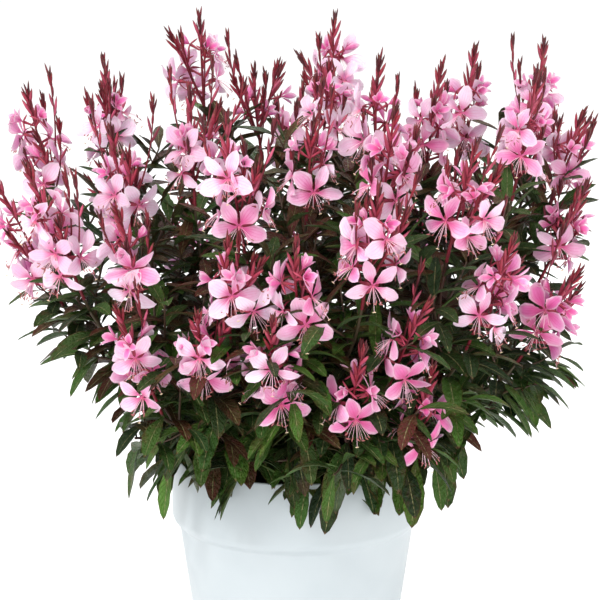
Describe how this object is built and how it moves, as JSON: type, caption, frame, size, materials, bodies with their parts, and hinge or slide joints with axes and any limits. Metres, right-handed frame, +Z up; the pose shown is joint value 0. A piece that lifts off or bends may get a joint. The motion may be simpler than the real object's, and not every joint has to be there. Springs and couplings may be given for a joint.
{
  "type": "potted gaura",
  "caption": "Bushy flowering perennial with narrow leaves, wiry flower wands and butterfly-like pink blooms, in a round plastic pot with a deep rim band.",
  "frame": {"origin": "on the ground under the middle of the plant, on the pot's axis, at the pot's foot", "axes": "+Z up along the pot's axis; -Y towards the front, which the picture shows; +X to the right"},
  "size_m": [0.3979, 0.3572, 0.448],
  "materials": {
    "pot_plastic": "satin",
    "potting_soil": "matte",
    "leaf_green": "satin",
    "bloom_pink": "matte"
  },
  "bodies": {
    "root": {"pot": "pot_plastic", "soil": "potting_soil", "flower_spray_back_1": "bloom_pink", "flower_spray_back_2": "bloom_pink", "flower_spray_back_left_1": "bloom_pink", "flower_spray_back_left_2": "bloom_pink", "flower_spray_back_right_1": "bloom_pink", "flower_spray_back_right_2": "bloom_pink", "flower_spray_front_1": "bloom_pink", "flower_spray_front_2": "bloom_pink", "flower_spray_front_3": "bloom_pink", "flower_spray_front_left_1": "bloom_pink", "flower_spray_front_left_2": "bloom_pink", "flower_spray_front_left_3": "bloom_pink", "flower_spray_front_right_1": "bloom_pink", "flower_spray_front_right_2": "bloom_pink", "flower_spray_front_right_3": "bloom_pink", "flower_spray_left_1": "bloom_pink", "flower_spray_left_2": "bloom_pink", "flower_spray_left_front_1": "bloom_pink", "flower_spray_left_front_2": "bloom_pink", "flower_spray_mid_back_1": "bloom_pink", "flower_spray_mid_back_left_1": "bloom_pink", "flower_spray_mid_back_left_2": "bloom_pink", "flower_spray_mid_back_right_1": "bloom_pink", "flower_spray_mid_back_right_2": "bloom_pink", "flower_spray_mid_front_1": "bloom_pink", "flower_spray_mid_front_2": "bloom_pink", "flower_spray_mid_left_1": "bloom_pink", "flower_spray_mid_left_2": "bloom_pink", "flower_spray_mid_right_1": "bloom_pink", "flower_spray_mid_right_2": "bloom_pink", "flower_spray_mid_right_3": "bloom_pink", "flower_spray_mid_right_front_1": "bloom_pink", "flower_spray_mid_right_front_2": "bloom_pink", "flower_spray_middle_1": "bloom_pink", "flower_spray_middle_2": "bloom_pink", "flower_spray_right_1": "bloom_pink", "flower_spray_right_2": "bloom_pink", "flower_spray_right_3": "bloom_pink", "flower_spray_right_front_1": "bloom_pink", "flower_spray_right_front_2": "bloom_pink", "leafy_stem_back": "leaf_green", "leafy_stem_back_left": "leaf_green", "leafy_stem_back_right": "leaf_green", "leafy_stem_front": "leaf_green", "leafy_stem_front_left": "leaf_green", "leafy_stem_front_right": "leaf_green", "leafy_stem_left": "leaf_green", "leafy_stem_left_front": "leaf_green", "leafy_stem_mid_back": "leaf_green", "leafy_stem_mid_back_left": "leaf_green", "leafy_stem_mid_back_right": "leaf_green", "leafy_stem_mid_front": "leaf_green", "leafy_stem_mid_left": "leaf_green", "leafy_stem_mid_right": "leaf_green", "leafy_stem_mid_right_front": "leaf_green", "leafy_stem_middle": "leaf_green", "leafy_stem_right": "leaf_green", "leafy_stem_right_front": "leaf_green"}
  },
  "joints": []
}
